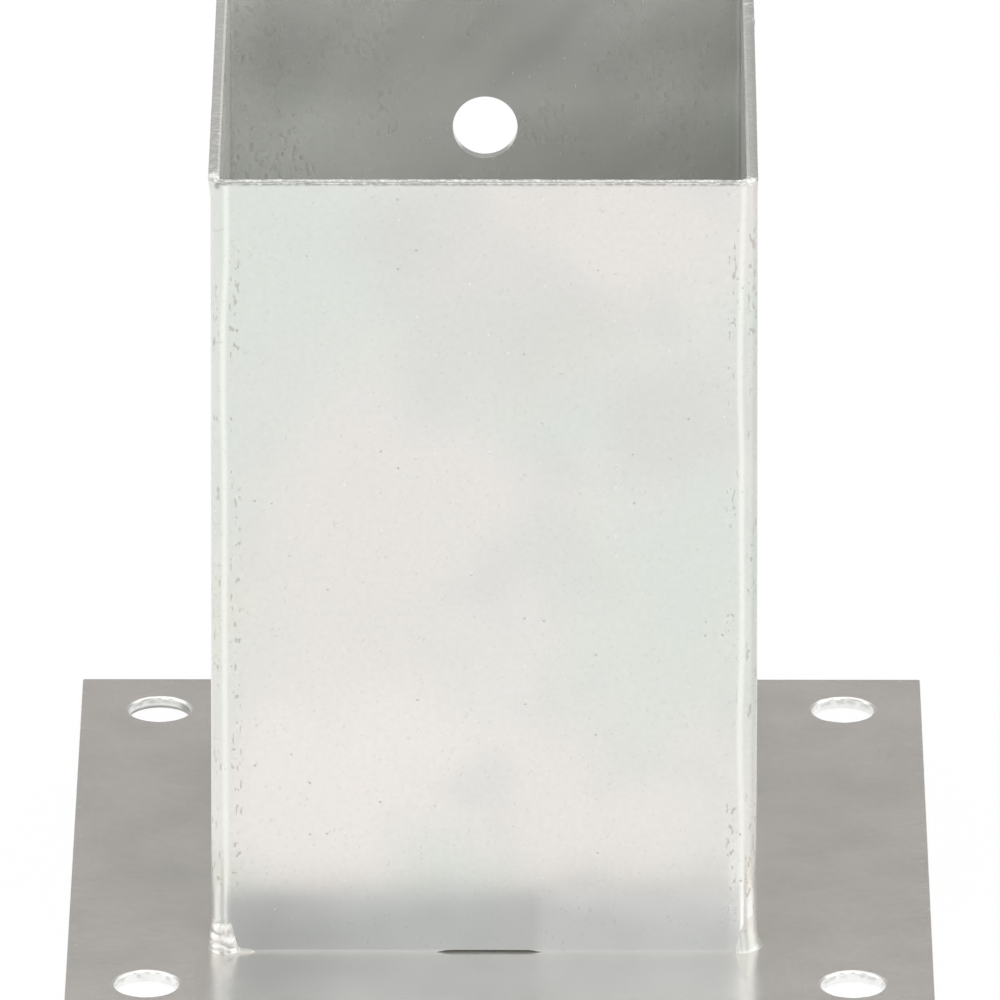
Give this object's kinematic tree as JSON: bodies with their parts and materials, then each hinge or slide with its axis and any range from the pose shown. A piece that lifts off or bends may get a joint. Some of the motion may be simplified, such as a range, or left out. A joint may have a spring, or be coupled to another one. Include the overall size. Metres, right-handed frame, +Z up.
{
  "type": "timber post base",
  "caption": "Square sheet-steel sleeve for the foot of a timber post, welded on a square plate with bolt holes at its corners.",
  "frame": {"origin": "middle of the base plate's underside", "axes": "+Z up out of the sleeve's mouth, +Y out of the wall with the screw hole, +X to the right seen from the plain front"},
  "size_m": [0.15, 0.15, 0.145],
  "materials": {
    "plate_steel": "bright zinc plated cold-rolled sheet, satin, faint handling marks",
    "sleeve_steel": "bright zinc plated cold-rolled sheet, satin, pale pink and green passivation clouds, die marks beside the bends",
    "weld_metal": "weld metal, lumpy, zinc plated with the rest"
  },
  "bodies": {
    "root": {"base_plate": "plate_steel", "post_sleeve": "sleeve_steel", "seam_weld": "weld_metal", "front_left_weld": "weld_metal", "front_right_weld": "weld_metal", "back_left_weld": "weld_metal", "back_right_weld": "weld_metal"}
  },
  "joints": []
}
